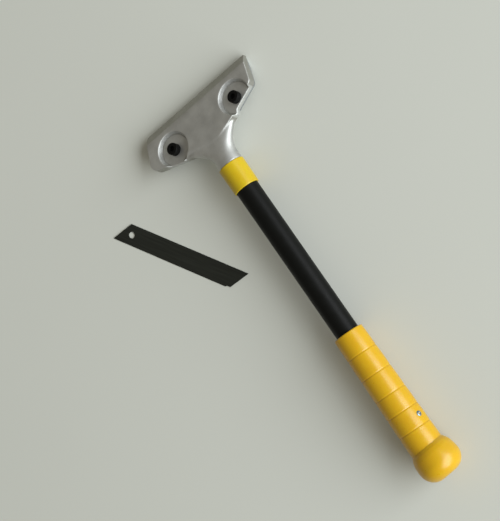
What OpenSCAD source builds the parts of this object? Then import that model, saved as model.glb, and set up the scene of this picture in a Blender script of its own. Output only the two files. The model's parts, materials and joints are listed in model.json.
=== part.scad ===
// Scraper with a clamped blade: a cast head, a clamp plate under it, and a long tubular handle.
// The tool lies at rest with its screws up. +Y is the way it is pushed, +Z is up, and the origin
// is the middle of the flat pad under the nose, on which the head stands. The handle runs along -Y.
// Sizes are in millimetres. Head outlines are drawn as [x, depth], where depth runs back from the
// nose along the tilted head plate.

/* [Head] */
// Tilt of the head plate against the handle, back edge up
head_tilt = 16; // [13:0.5:18]
// Reach of the nose to the left of the handle axis
nose_left = 47; // [45:0.5:50]
// Reach of the nose to the right of the handle axis
nose_right = 51.5; // [49:0.5:55]
// Lean of the left end of the head, away from square
left_lean = 15.5; // [8:0.5:20]
// Lean of the right end of the head, away from square
right_lean = 11; // [6:0.5:16]
// Slope of the left wing's back edge
left_sweep = 18.5; // [15:0.5:22]
// Slope of the right wing's back edge
right_sweep = 23; // [21:0.1:28]
// Depth of the left wing where it meets the neck
left_root_depth = 36.6; // [36:0.1:38]
// Depth of the right wing where it meets the neck
right_root_depth = 31; // [30:0.1:33]
// Half the width over which the wings meet the neck
root_half = 27; // [26:0.5:28]
// Depth of the head plate on the handle axis
head_depth = 40.4; // [39.6:0.1:41]
// Thickness of the cast head plate
casting_t = 7.5; // [7:0.1:8.5]
// Thickness of the cast nose above the blade
nose_t = 3.2; // [2.6:0.1:3.8]
// Depth of the bevel that thins the nose
nose_bevel = 7; // [5:0.5:8]
// Radius of the left wing's outer corner
left_corner_r = 6; // [3:0.5:8]
// Radius of the right wing's outer corner
right_corner_r = 4; // [2:0.5:5]
// Radius that takes the sharpness off the nose's two ends
nose_corner_r = 0.8; // [0.5:0.1:1.5]

/* [Neck] */
// Distance from the nose pad to the end of the neck
neck_reach = 54.5; // [53:0.5:56]
// Width of the neck at the collar
neck_w = 19; // [18.2:0.1:19.4]
// Height of the neck at the collar
neck_h = 18.8; // [18.2:0.1:19]
// Sideways size of the curve from neck to left wing
left_flare = 15; // [12:0.5:16]
// Sideways size of the curve from neck to right wing
right_flare = 11; // [9:0.5:14]
// Lengthwise size of both curves
flare_len = 17; // [15:0.5:18]
// Straight part of the neck next to the collar
neck_straight = 6.5; // [5:0.5:7]
// Step from the head plate's top down to the neck
neck_drop = 0.2; // [0.1:0.1:0.8]
// Step of the right shoulder behind the right wing's back edge
shoulder_step = 3.2; // [2:0.1:4]
// Width of the right shoulder's end
shoulder_w = 1.6; // [1:0.1:3]
// Bevel that rolls the left shoulder down into the neck
shoulder_bevel = 3.9; // [3:0.1:4.2]
// Length of the spigot that goes into the tube
spigot_len = 40; // [34:1:48]

/* [Clamp] */
// Thickness of the clamp plate
clamp_t = 3; // [2.5:0.1:4]
// Depth of the clamp plate
clamp_depth = 30; // [29:0.1:30.4]
// Step from the head's outline in to the clamp plate's outline
clamp_inset = 1.5; // [1:0.1:2.5]
// Depth of the flat pad under the nose
pad_depth = 5.5; // [4:0.5:7]
// Distance of each clamp screw from the handle axis
screw_x = 30.6; // [30:0.1:31.4]
// Distance of the clamp screws behind the nose
screw_depth = 23.8; // [23:0.1:24]
// Thread diameter of the clamp screws
screw_d = 6; // [5:0.5:6]
// Head diameter of the clamp screws
screw_head_d = 9; // [8.5:0.1:10]
// Head height of the clamp screws
screw_head_h = 5; // [4.4:0.1:5.4]
// Length of the clamp screws under the head
screw_len = 8; // [7.8:0.1:9]
// Size of the hexagon socket across its corners
socket_d = 4.6; // [4:0.1:5]
// Depth of the hexagon socket
socket_depth = 2.2; // [1.5:0.1:2.6]
// Radius of the screw pockets at the top
pocket_rim_r = 13.3; // [12.8:0.1:13.6]
// Radius of the screw pockets at the floor
pocket_floor_r = 12; // [11.4:0.1:12.4]
// Depth of the screw pockets
pocket_depth = 3.5; // [3:0.1:4]

/* [Blade] */
// Length of the blade's cutting edge
blade_len = 101.6; // [98:0.1:104]
// Width of the blade
blade_w = 15.8; // [15:0.1:16.6]
// Thickness of the blade
blade_t = 0.6; // [0.4:0.05:0.8]
// Angle of the blade's slanted ends
blade_end_angle = 55; // [50:1:70]
// Width of the ground band along each long edge
blade_grind_w = 1.2; // [0.8:0.1:2]
// Thickness left at the blade's edges
blade_edge_t = 0.12; // [0.08:0.01:0.2]
// Diameter of the hole in the blade
blade_hole_d = 5; // [4.8:0.1:5.4]
// Distance of the hole from the blade's left end
blade_hole_in = 8.4; // [7.5:0.1:9.5]
// Length of the nick in the blade's lower right corner
blade_nick_len = 3.4; // [2.5:0.1:5]
// Depth of the nick in the blade's lower right corner
blade_nick_depth = 1.1; // [0.6:0.1:1.6]
// How far a fitted blade stands out of the nose
blade_reach = 4; // [3:0.5:5]
// How far a fitted blade stands out of the left end of the head
blade_overhang = 1.5; // [1:0.1:2.5]
// Place of the loose blade's middle across the tool
blade_x = -81.1; // [-90:0.1:-80]
// Place of the loose blade's middle along the tool
blade_y = -78.4; // [-90:0.1:-70]
// Turn of the loose blade from crosswise
blade_turn = -56.6; // [-65:0.1:-55]

/* [Handle] */
// Outer diameter of the tube
tube_d = 17.4; // [17:0.1:17.8]
// Wall of the tube
tube_wall = 1.3; // [1.1:0.1:1.6]
// Length of the collar
collar_len = 20.5; // [19:0.5:24]
// Diameter of the collar at the head
collar_d = 20.2; // [19.8:0.1:22]
// Diameter of the collar at its tube end
collar_tail_d = 19.8; // [19.2:0.1:21]
// Bare length of tube between collar and grip
bare_tube_len = 125; // [110:1:150]
// Diameter of the pin through tube and spigot
neck_pin_d = 4; // [3:0.5:5]

/* [Grip] */
// Diameter of the grip's front end
grip_front_d = 22.4; // [22:0.1:23]
// Diameter of the grip's back end
grip_back_d = 25.2; // [24:0.1:26]
// Length of each of the front rings
long_ring = 17; // [15:0.5:19]
// Number of long rings
long_rings = 3; // [2:1:4]
// Length of each of the back rings
short_ring = 14.5; // [13:0.5:16]
// Number of short rings
short_rings = 3; // [2:1:4]
// Width of the groove between two rings
groove_w = 1.4; // [1:0.1:2]
// Depth of the groove between two rings
groove_depth = 0.7; // [0.4:0.1:1]
// Swell of each ring at its middle
ring_crown = 0.25; // [0.1:0.05:0.4]
// Diameter of the rivet through grip and tube
rivet_d = 3; // [2.5:0.1:3.5]
// Diameter of the rivet's head
rivet_head_d = 4.2; // [4:0.1:5]
// Turn of the rivet from the top towards the right
rivet_turn = 66; // [40:1:90]

/* [Knob] */
// Largest diameter of the end knob
knob_d = 32.4; // [31.6:0.1:34]
// Length of the end knob
knob_len = 23.5; // [22:0.5:26]
// Diameter of the knob where it meets the grip
knob_front_d = 28.8; // [28:0.1:30]
// Length over which the knob swells
knob_swell = 12.5; // [9:0.5:12.5]
// Radius of the knob's round back corner
knob_corner_r = 11; // [8:0.5:11]
// Lean of the knob's round body to the right of the handle axis
knob_lean = 6.5; // [0:0.5:8]
// Length of the grip's end that sits in the knob
knob_tuck = 3; // [2.5:0.1:4]
// Depth of the blind bore for the tube
knob_bore_depth = 15; // [12:0.5:17]

/* [Fits] */
// Gap between the head plate and the clamp plate
seat_gap = 0.1; // [0.05:0.01:0.2]
// Room above the blade in its seat
blade_room = 0.05; // [0.02:0.01:0.1]
// Gap between pieces that are pushed together
push_gap = 0.03; // [0.01:0.01:0.05]
// Radial gap round the screws' threads
thread_gap = 0.05; // [0.02:0.01:0.1]
// Radial gap round the screws in the head
shank_gap = 0.1; // [0.05:0.01:0.2]
// Radial gap round the blade's locating pin
pin_gap = 0.25; // [0.2:0.05:0.4]

/* [Hidden] */

$fn = 96;
corner_steps = 8;
neck_steps = 12;
neck_sides = 40;
ring_steps = 5;
knob_steps = 14;
// Overrun of every cut past the face that it opens
over = 1;
// Overlap of shapes that are fused
lap = 0.5;

cast_color = "#a9aaa6";
steel_color = "#8f9498";
black_color = "#1b1c1b";
yellow_color = "#f0c31c";

// Levels above the clamp plate's lower face, square to the head plate
seat_level = clamp_t + seat_gap;
top_level = seat_level + casting_t;
slot_level = seat_level + blade_t + blade_room;
nose_level = slot_level + nose_t;
floor_level = top_level - pocket_depth;
seat_depth = blade_w - blade_reach;

// The head plate turns about its nose until the pad is level, with the pad's middle at the origin
plate_y = pad_depth * cos(2 * head_tilt) / (2 * cos(head_tilt));
plate_z = -pad_depth * sin(head_tilt);

axis_z = knob_d / 2;
collar_y = -neck_reach;
tube_y = collar_y - push_gap;
bare_y = collar_y - collar_len;
grip_y = bare_y - bare_tube_len;
grip_len = long_rings * long_ring + short_rings * short_ring;
knob_y = grip_y - grip_len;
tube_len = tube_y - knob_y + knob_bore_depth - push_gap;
tube_r = tube_d / 2;
bore_r = tube_r - tube_wall;
spigot_r = bore_r - push_gap;
sleeve_r = tube_r + push_gap;

neck_pin_y = collar_y - collar_len / 2;
rivet_y = grip_y - long_rings * long_ring - 1.5 * short_ring;
rivet_r = rivet_d / 2;
// The rivet sits on the crown of its ring
rivet_seat_r = grip_radius(grip_y - rivet_y) + ring_crown;
rivet_head_h = rivet_head_d / 5;

// Pin that goes through the hole of a fitted blade, in the blade's middle line
pin_d = blade_hole_d - 2 * pin_gap;
pin_depth = blade_w / 2 - blade_reach;
pin_x = -nose_left - pin_depth * tan(left_lean) - blade_overhang + blade_hole_in;
pin_sink = nose_t / 2;
pin_low = clamp_t / 2;

// Where the neck's loft starts inside the head
root_y = -25;
// Power of the section there: 1 is an ellipse, less is squarer
root_share = 0.7;

function lerp(a, b, t) = a + (b - a) * t;
function ease(t) = t * t * (3 - 2 * t);

// Row height of a level of the head plate, at a distance along the tool
function level_z(y, level) =
    plate_z + level * cos(head_tilt) + (plate_y + level * sin(head_tilt) - y) * tan(head_tilt);

function unit(v) = v / norm(v);

// An outline from [x, y, radius] corners, with each corner that has a radius made round
function rounded(corners) = [
    for (i = [0 : len(corners) - 1])
        let (
            c = corners[i],
            p = [c[0], c[1]],
            before = corners[(i + len(corners) - 1) % len(corners)],
            after = corners[(i + 1) % len(corners)],
            a = unit([before[0], before[1]] - p),
            b = unit([after[0], after[1]] - p),
            half = acos(a * b) / 2,
            middle = p + unit(a + b) * c[2] / sin(half),
            from = p + a * c[2] / tan(half) - middle,
            to = p + b * c[2] / tan(half) - middle,
            start = atan2(from[1], from[0]),
            raw = atan2(to[1], to[0]) - start,
            sweep = raw > 180 ? raw - 360 : raw < -180 ? raw + 360 : raw
        )
        each c[2] == 0 ? [p] : [
            for (k = [0 : corner_steps])
                let (turn = start + sweep * k / corner_steps)
                    middle + c[2] * [cos(turn), sin(turn)]
        ]
];

// Outline of the head plate, drawn in by inset at its ends and back edges
function head_outline(inset) =
    let (
        left_nose = nose_left - inset / cos(left_lean),
        right_nose = nose_right - inset / cos(right_lean),
        left_root = left_root_depth - inset / cos(left_sweep),
        right_root = right_root_depth - inset / cos(right_sweep),
        left_slope = tan(left_sweep),
        right_slope = tan(right_sweep),
        left_x = (left_nose + (left_root + root_half * left_slope) * tan(left_lean))
            / (1 + left_slope * tan(left_lean)),
        right_x = (right_nose - (right_root + root_half * right_slope) * tan(right_lean))
            / (1 - right_slope * tan(right_lean))
    )
    rounded([
        [-left_nose, 0, nose_corner_r],
        [right_nose, 0, nose_corner_r],
        [right_x, right_root - (right_x - root_half) * right_slope, right_corner_r],
        [root_half, right_root, 0],
        [root_half - shoulder_w, right_root + shoulder_step, 0],
        [root_half / 4, head_depth - inset, 0],
        [(head_depth - inset - left_root) / left_slope - root_half, head_depth - inset, 0],
        [-left_x, left_root - (left_x - root_half) * left_slope, left_corner_r]
    ]);

// Puts what is drawn on the head plate, with depth along -y, in its place
module on_head() {
    translate([0, plate_y, plate_z]) rotate([-head_tilt, 0, 0]) children();
}

// A flat blank of the head's outline between two levels
module head_blank(low, high, inset) {
    translate([0, 0, low])
        linear_extrude(height = high - low)
            polygon([for (p = head_outline(inset)) [p[0], -p[1]]]);
}

// A bar across the whole head whose section is drawn as [depth, level]
module cross_bar(section) {
    bar_w = 2 * (nose_left + nose_right);
    translate([-bar_w / 2, 0, 0])
        rotate([90, 0, 90])
            linear_extrude(height = bar_w)
                polygon([for (p = section) [-p[0], p[1]]]);
}

// Puts what is drawn along +z on the handle axis, running back from a place on it
module on_axis(y) {
    translate([0, y, axis_z]) rotate([90, 0, 0]) children();
}

// Section of the neck: a rounded oblong that is fuller at the head than at the collar
function neck_ring(y, spread) =
    let (
        t = (y - root_y) / (collar_y - root_y),
        left = neck_w / 2 + left_flare * spread,
        right = neck_w / 2 + right_flare * spread,
        top = lerp(level_z(root_y, top_level) - neck_drop, axis_z + neck_h / 2, t),
        low = lerp(level_z(root_y, seat_level) + neck_drop, axis_z - neck_h / 2, ease(t)),
        power = lerp(root_share, 1, ease(t))
    )
    [
        for (i = [0 : neck_sides - 1])
            let (a = 360 * i / neck_sides, c = cos(a), s = sin(a))
            [
                (c < 0 ? -left : right) * pow(abs(c), power),
                y,
                (top + low) / 2 + (top - low) / 2 * sign(s) * pow(abs(s), power)
            ]
    ];

// Stations of the neck from the collar to the root: [y, share of the flares]
function neck_stations() =
    let (curve_y = collar_y + neck_straight)
    concat(
        [[collar_y, 0]],
        [
            for (i = [0 : neck_steps])
                let (t = i / neck_steps)
                [curve_y + flare_len * t, t * t]
        ],
        [[root_y, 1]]
    );

// The neck blends the flat head plate into the round handle
module neck() {
    stations = neck_stations();
    count = len(stations);
    points = [
        for (s = stations) each neck_ring(s[0], s[1])
    ];
    walls = [
        for (r = [0 : count - 2], i = [0 : neck_sides - 1])
            let (
                j = (i + 1) % neck_sides,
                a = r * neck_sides + i,
                b = r * neck_sides + j,
                c = (r + 1) * neck_sides + j,
                d = (r + 1) * neck_sides + i
            )
            each [[a, b, c], [a, c, d]]
    ];
    back = [for (i = [neck_sides - 1 : -1 : 0]) i];
    front = [for (i = [0 : neck_sides - 1]) (count - 1) * neck_sides + i];
    polyhedron(points, concat([back], walls, [front]), convexity = 4);
}

// What the nose's bevel takes off the head's top
module nose_cut() {
    cross_bar([
        [-over, top_level + over], [-over, nose_level - over * (top_level - nose_level) / nose_bevel],
        [nose_bevel, top_level], [nose_bevel, top_level + over]
    ]);
}

// Recess for the blade under the nose
module blade_seat() {
    cross_bar([
        [-over, seat_level - over], [-over, slot_level],
        [seat_depth, slot_level], [seat_depth, seat_level - over]
    ]);
}

// Bevel along the back edge between the left wing and the neck
module left_shoulder() {
    translate([-root_half, -left_root_depth, top_level]) rotate([0, 0, -left_sweep])
        rotate([90, 0, 90]) linear_extrude(height = root_half)
            polygon([
                [shoulder_bevel + over, over], [-2 * shoulder_bevel, -3 * shoulder_bevel],
                [-3 * shoulder_bevel, over]
            ]);
}

module screw_places() {
    for (side = [-1, 1]) translate([side * screw_x, -screw_depth, 0]) children();
}

module neck_pin_hole(r) {
    translate([-tube_d / 2 - over, neck_pin_y, axis_z])
        rotate([0, 90, 0])
            cylinder(h = tube_d + 2 * over, r = r);
}

// Turns what points up out of the handle axis to the rivet's side
module at_rivet() {
    translate([0, rivet_y, axis_z]) rotate([0, rivet_turn, 0]) children();
}

// Cast aluminium head: nose bevel, blade seat, two screw pockets, neck and spigot in one piece
module head_casting() {
    color(cast_color) {
        difference() {
            union() {
                on_head() difference() {
                    head_blank(seat_level, top_level, 0);
                    nose_cut();
                    blade_seat();
                    left_shoulder();
                }
                neck();
            }
            on_head() screw_places() {
                translate([0, 0, floor_level]) {
                    rise = pocket_depth + over;
                    slope_r = (pocket_rim_r - pocket_floor_r) * rise / pocket_depth;
                    cylinder(h = rise, r1 = pocket_floor_r, r2 = pocket_floor_r + slope_r);
                }
                translate([0, 0, seat_level - over])
                    cylinder(h = casting_t + over, r = screw_d / 2 + shank_gap);
            }
            on_head() translate([pin_x, -pin_depth, slot_level - over])
                cylinder(h = pin_sink + over, r = pin_d / 2);
        }
        difference() {
            on_axis(collar_y + lap) cylinder(h = spigot_len + lap, r = spigot_r);
            neck_pin_hole(neck_pin_d / 2 + push_gap);
        }
    }
}

// Steel plate that presses the blade up against the head
module clamp_plate() {
    color(steel_color) on_head() difference() {
        intersection() {
            head_blank(0, clamp_t, clamp_inset);
            cross_bar([
                [0, pad_depth * tan(head_tilt)], [0, clamp_t], [clamp_depth, clamp_t],
                [clamp_depth, 0], [pad_depth, 0]
            ]);
        }
        screw_places() translate([0, 0, -over])
            cylinder(h = clamp_t + 2 * over, r = screw_d / 2 + thread_gap);
        translate([pin_x, -pin_depth, -over])
            cylinder(h = clamp_t + 2 * over, r = pin_d / 2 + pin_gap);
    }
}

// Low socket-head screw, with its head's lower face at the origin
module clamp_screw() {
    rim = screw_head_h / 10;
    difference() {
        rotate_extrude() polygon([
            [0, -screw_len], [screw_d / 2 - rim, -screw_len], [screw_d / 2, rim - screw_len],
            [screw_d / 2, 0], [screw_head_d / 2, 0], [screw_head_d / 2, screw_head_h - rim],
            [screw_head_d / 2 - rim, screw_head_h], [0, screw_head_h]
        ]);
        translate([0, 0, screw_head_h - socket_depth])
            cylinder(h = socket_depth + over, d = socket_d, $fn = 6);
    }
}

module clamp_screw_left() {
    color(black_color) on_head()
        translate([-screw_x, -screw_depth, floor_level + push_gap]) clamp_screw();
}

module clamp_screw_right() {
    color(black_color) on_head()
        translate([screw_x, -screw_depth, floor_level + push_gap]) clamp_screw();
}

// Steel pin pressed into the nose, which stands in the hole of a fitted blade
module blade_pin() {
    color(steel_color) on_head()
        translate([pin_x, -pin_depth, pin_low])
            cylinder(h = slot_level + pin_sink - pin_low, r = pin_d / 2);
}

// Steel pin that holds the tube on the spigot, hidden by the collar
module neck_pin() {
    half_len = sqrt(pow(tube_r, 2) - pow(neck_pin_d / 2, 2));
    color(steel_color) translate([-half_len, neck_pin_y, axis_z])
        rotate([0, 90, 0]) cylinder(h = 2 * half_len, r = neck_pin_d / 2);
}

// Moulded collar over the joint of head and tube
module collar() {
    edge = (collar_tail_d - tube_d) / 6;
    color(yellow_color) on_axis(collar_y - push_gap) rotate_extrude() polygon([
        [sleeve_r, 0], [collar_d / 2 - edge, 0], [collar_d / 2, edge],
        [collar_tail_d / 2, collar_len - edge], [collar_tail_d / 2 - edge, collar_len],
        [sleeve_r, collar_len]
    ]);
}

// Steel tube with a black coat, from the neck into the knob
module tube() {
    color(black_color) difference() {
        on_axis(tube_y) difference() {
            cylinder(h = tube_len, r = tube_r);
            translate([0, 0, -over]) cylinder(h = tube_len + 2 * over, r = bore_r);
        }
        neck_pin_hole(neck_pin_d / 2 + push_gap);
        at_rivet() cylinder(h = tube_d, r = rivet_r + push_gap);
    }
}

// Ends of the grip's rings, measured from its front
function ring_ends() = [
    for (i = [0 : long_rings + short_rings])
        i <= long_rings ? i * long_ring : long_rings * long_ring + (i - long_rings) * short_ring
];

// Half profile of the grip's outside: crowned rings with a groove between each two
function grip_profile() =
    let (ends = ring_ends(), count = len(ends) - 1)
    [
        for (i = [0 : count - 1])
            let (
                start = ends[i] + (i == 0 ? 0 : groove_w / 2),
                stop = ends[i + 1] - (i == count - 1 ? 0 : groove_w / 2)
            )
            each concat(
                i == 0 ? [] : [[grip_radius(ends[i]) - groove_depth, ends[i]]],
                [
                    for (k = [0 : ring_steps])
                        let (t = k / ring_steps, z = lerp(start, stop, t))
                        [grip_radius(z) + ring_crown * sin(180 * t), z]
                ]
            )
    ];

function grip_radius(z) = lerp(grip_front_d, grip_back_d, z / grip_len) / 2;

// Moulded grip sleeve
module grip() {
    color(yellow_color) difference() {
        on_axis(grip_y) rotate_extrude()
            polygon(concat(
                [[sleeve_r, 0]], grip_profile(),
                [[grip_back_d / 2, grip_len + knob_tuck], [sleeve_r, grip_len + knob_tuck]]
            ));
        at_rivet() rotate_extrude() polygon([
            [0, 0], [rivet_r + push_gap, 0], [rivet_r + push_gap, rivet_seat_r - rivet_head_h / 2],
            [rivet_head_d / 2 + push_gap, rivet_seat_r - rivet_head_h / 2],
            [rivet_head_d / 2 + push_gap, grip_back_d], [0, grip_back_d]
        ]);
    }
}

// Rivet with a low domed head, through the grip's wall and the tube's wall
module grip_rivet() {
    head_z = rivet_seat_r - rivet_head_h / 2 + push_gap;
    head_r = rivet_head_d / 2;
    color(steel_color) at_rivet() rotate_extrude() polygon(concat(
        [[0, bore_r - tube_wall], [rivet_r, bore_r - tube_wall], [rivet_r, head_z], [head_r, head_z]],
        [
            for (k = [0 : ring_steps])
                let (a = 90 * k / ring_steps)
                [head_r * cos(a), head_z + rivet_head_h / 2 * (1 + sin(a))]
        ]
    ));
}

// Half profile of the knob's outside, from its front face back
function knob_profile() = concat(
    [
        for (k = [0 : knob_steps])
            let (t = k / knob_steps)
            [lerp(knob_front_d, knob_d, sin(90 * t)) / 2, knob_swell * t]
    ],
    [
        for (k = [0 : knob_steps])
            let (a = 90 * k / knob_steps)
            [
                knob_d / 2 - knob_corner_r * (1 - cos(a)),
                knob_len - knob_corner_r * (1 - sin(a))
            ]
    ]
);

// Moulded knob pushed over the ends of the tube and the grip
module end_knob() {
    color(yellow_color) difference() {
        translate([0, knob_y, axis_z]) rotate([0, 0, knob_lean]) rotate([90, 0, 0])
            rotate_extrude() polygon(concat([[0, 0]], knob_profile(), [[0, knob_len]]));
        on_axis(knob_y + knob_tuck) {
            cylinder(h = knob_bore_depth + knob_tuck, r = sleeve_r);
            // The mouth clears the crown of the grip's last ring
            cylinder(h = 2 * knob_tuck + push_gap, r = grip_back_d / 2 + ring_crown);
        }
    }
}

// Blackened steel blade with slanted ends, lying loose on its face beside the handle
module scraper_blade() {
    slant = blade_w / tan(blade_end_angle);
    corner_x = (blade_len - slant) / 2;
    grind_z = (blade_t - blade_edge_t) / 2;
    color(black_color) translate([blade_x, blade_y, 0]) rotate([0, 0, blade_turn]) difference() {
        intersection() {
            linear_extrude(height = blade_t) polygon([
                [(slant - blade_len) / 2, blade_w / 2], [(blade_len + slant) / 2, blade_w / 2],
                [corner_x + blade_nick_depth / tan(blade_end_angle), blade_nick_depth - blade_w / 2],
                [corner_x - blade_nick_len / 2, blade_nick_depth - blade_w / 2],
                [corner_x - blade_nick_len, -blade_w / 2], [-(blade_len + slant) / 2, -blade_w / 2]
            ]);
            translate([-blade_len, 0, 0]) rotate([90, 0, 90]) linear_extrude(height = 2 * blade_len)
                polygon([
                    [-blade_w / 2, grind_z], [blade_grind_w - blade_w / 2, 0],
                    [blade_w / 2 - blade_grind_w, 0], [blade_w / 2, grind_z],
                    [blade_w / 2, blade_t - grind_z], [blade_w / 2 - blade_grind_w, blade_t],
                    [blade_grind_w - blade_w / 2, blade_t], [-blade_w / 2, blade_t - grind_z]
                ]);
        }
        translate([blade_hole_in - blade_len / 2, 0, -over])
            cylinder(h = blade_t + 2 * over, d = blade_hole_d);
    }
}

head_casting();
clamp_plate();
clamp_screw_left();
clamp_screw_right();
blade_pin();
neck_pin();
collar();
tube();
grip();
grip_rivet();
end_knob();
scraper_blade();
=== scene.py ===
"""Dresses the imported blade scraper: head, screws, tube, collar, grip, knob and loose blade."""

import json
from math import atan2, cos, pi, radians, sin, tan

import bmesh
import bpy
from bpy.props import FloatProperty, FloatVectorProperty, IntProperty, PointerProperty
from mathutils import Euler, Matrix, Vector


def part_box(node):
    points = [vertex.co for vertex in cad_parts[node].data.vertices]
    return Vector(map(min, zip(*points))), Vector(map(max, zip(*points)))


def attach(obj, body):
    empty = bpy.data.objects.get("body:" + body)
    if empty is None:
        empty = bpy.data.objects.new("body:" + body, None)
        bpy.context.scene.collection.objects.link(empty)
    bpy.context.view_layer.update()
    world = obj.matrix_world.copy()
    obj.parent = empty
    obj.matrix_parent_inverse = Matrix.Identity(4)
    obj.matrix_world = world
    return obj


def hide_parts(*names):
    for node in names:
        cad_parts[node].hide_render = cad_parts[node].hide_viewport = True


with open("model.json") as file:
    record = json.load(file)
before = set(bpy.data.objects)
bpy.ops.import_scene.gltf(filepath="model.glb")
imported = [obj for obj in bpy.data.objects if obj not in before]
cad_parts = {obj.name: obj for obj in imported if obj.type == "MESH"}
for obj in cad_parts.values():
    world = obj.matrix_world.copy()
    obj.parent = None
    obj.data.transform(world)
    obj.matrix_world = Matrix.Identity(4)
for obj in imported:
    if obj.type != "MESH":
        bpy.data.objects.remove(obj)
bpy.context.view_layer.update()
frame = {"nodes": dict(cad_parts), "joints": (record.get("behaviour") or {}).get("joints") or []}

bl_info = {
    "name": "Blade scraper",
    "version": (1, 0, 0),
    "blender": (4, 5, 0),
    "location": "3D View > Sidebar > Scraper",
    "description": "Dresses a long-handled blade scraper around its packed frame",
    "category": "Object",
}

MM = 0.001
# Vertices nearer than the first are one; radii nearer than the second are the same
MERGE, TOUCH = 0.002 * MM, 0.01 * MM
# Room between a sleeve and what it sits on, and under a screw's head
CLEARANCE = 0.03 * MM
# Roundings of a sharp, a broken and a soft turned edge
SHARP, BROKEN, SOFT = 0.1 * MM, 0.2 * MM, 0.5 * MM
# The cone under a drilled socket, and how far outside the socket its edge is still hexagonal
DRILL_CONE, HEXAGON_REACH = 0.5 * MM, 0.15 * MM
# How far the rivet's shank and the knob's mouth go on out of sight
HIDDEN = 3 * MM
# Steps in the arc of a rounded profile corner, in the rivet's dome and in each curve of the knob
ARC_STEPS, DOME_STEPS, KNOB_STEPS = 6, 10, 24
# Columns round a turned piece, the rivet, each knurl and the grip, and rows along the grip
TURNED_COLUMNS, RIVET_COLUMNS, COLUMNS_PER_KNURL = 128, 48, 4
GRIP_COLUMNS, GRIP_ROWS = 120, 300
# What a profile's points may be marked for
MARKS = ("knurl", "thread", "hexagon", "soil")
# A head with fewer faces was lost in the remesh
FEWEST_FACES = 1000
# Long side of the camera's sensor in mm, and the nearest and farthest that it sees in metres
SENSOR, NEAREST, FARTHEST = 36.0, 0.01, 20.0


def linear(hex_colour):
    """An sRGB hex colour as linear red, green, blue and alpha."""
    parts = [int(hex_colour[i : i + 2], 16) / 255 for i in (1, 3, 5)]
    return (*(p / 12.92 if p <= 0.04045 else ((p + 0.055) / 1.055) ** 2.4 for p in parts), 1.0)


def add(tree, kind, settings=None, inputs=()):
    """Adds a node; inputs come by key or in order, and a socket is linked, any other value set."""
    node = tree.nodes.new(kind)
    for name, value in (settings or {}).items():
        setattr(node, name, value)
    for key, value in inputs.items() if isinstance(inputs, dict) else enumerate(inputs):
        if isinstance(value, bpy.types.NodeSocket):
            tree.links.new(value, node.inputs[key])
        else:
            node.inputs[key].default_value = value
    return node


def joint(name):
    """A joint of the frame."""
    return next(j for j in frame["joints"] if j["name"] == name)


def length(name, description, value):
    """A property for a length, whose default is given in mm."""
    return FloatProperty(
        name=name, description=description, default=value * MM, unit="LENGTH", precision=5
    )


def colour(name, description, hex_colour):
    """A property for a colour, whose default is given as sRGB hex."""
    return FloatVectorProperty(
        name=name, description=description, default=linear(hex_colour), size=4, subtype="COLOR",
        min=0, max=1,
    )


def angle(name, description, degrees):
    """A property for an angle, whose default is given in degrees."""
    return FloatProperty(
        name=name, description=description, default=radians(degrees), subtype="ANGLE"
    )


class ScraperHead(bpy.types.PropertyGroup):
    voxel: length("Detail", "Size of the smallest detail kept in the cast skin", 0.4)
    soften: IntProperty(
        name="Soften", description="Rounds that soften the cast edges", default=8, min=0
    )
    neck_soften: IntProperty(
        name="Blend rounds", description="More rounds that blend the neck", default=16, min=0
    )
    plate_end: length("Plate end", "Where along the tool the blended neck starts", -22)
    blend: length("Blend length", "Length over which the neck's blending rises", 12)
    neck_width: length("Neck width", "Distance from the middle to which the neck is blended", 22)
    neck_fade: length("Neck fade", "Width over which the neck's blending fades into the wings", 6)
    metal: colour("Aluminium", "Colour of the cast aluminium", "#D0D1CE")
    # Painted shade: the colour that darkens the bevel along the nose and the top just behind it
    nose_shade: colour("Stain", "Colour of the shaded bevel along the nose", "#9E9D92")
    # Painted shade: the colour that darkens the head's steeply sloping flanks
    flank_shade: colour("Flank", "Colour of the cast skin on the head's flanks", "#A6A59E")
    # The pockets round the screws are left out of the painted shade on the flanks
    pocket: length("Pocket", "Radius around each screw that is spot-faced bright", 13.6)
    pocket_fade: length("Pocket fade", "Width over which the bright pocket ends", 1)
    nose_shade_reach: length("Stain reach", "How far behind the front edge the stain goes", 10)
    # Partly painted shade in the concave corners, partly tarnishing in random patches
    tarnish_and_corner_shade: colour("Tarnish", "Colour in the corners that cloths don't reach", "#6C6B65")


class ScraperScrews(bpy.types.PropertyGroup):
    head_diameter: length("Head diameter", "Diameter of the socket head", 9)
    head_height: length("Head height", "Height of the socket head", 5)
    thread_diameter: length("Thread diameter", "Outer diameter of the thread", 6)
    thread_length: length("Thread length", "Length under the head", 8)
    pitch: length("Pitch", "Travel of the thread in one turn", 1)
    socket: length("Socket", "Size of the hexagon across its corners", 4.6)
    socket_depth: length("Socket depth", "Depth of the hexagon", 2.2)
    knurls: IntProperty(name="Knurls", description="Ridges round the head", default=36, min=12)
    knurl_depth: length("Knurl depth", "Depth of the ridges round the head", 0.16)
    metal: colour("Black oxide", "Colour of the screws", "#0B0B0A")


class ScraperHandle(bpy.types.PropertyGroup):
    tube_diameter: length("Tube diameter", "Outer diameter of the tube", 17.4)
    tube_wall: length("Tube wall", "Wall of the tube", 1.3)
    collar_diameter: length("Collar diameter", "Diameter of the collar at the head", 20.2)
    collar_tail: length("Collar tail", "Diameter of the collar at its tube end", 19.8)
    collar_edge: length("Collar edge", "Rounding of the collar's edges", 0.5)
    coat: colour("Powder coat", "Colour of the tube's coat", "#0A0B09")
    plastic: colour("Collar plastic", "Colour of the collar", "#C4A810")


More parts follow.
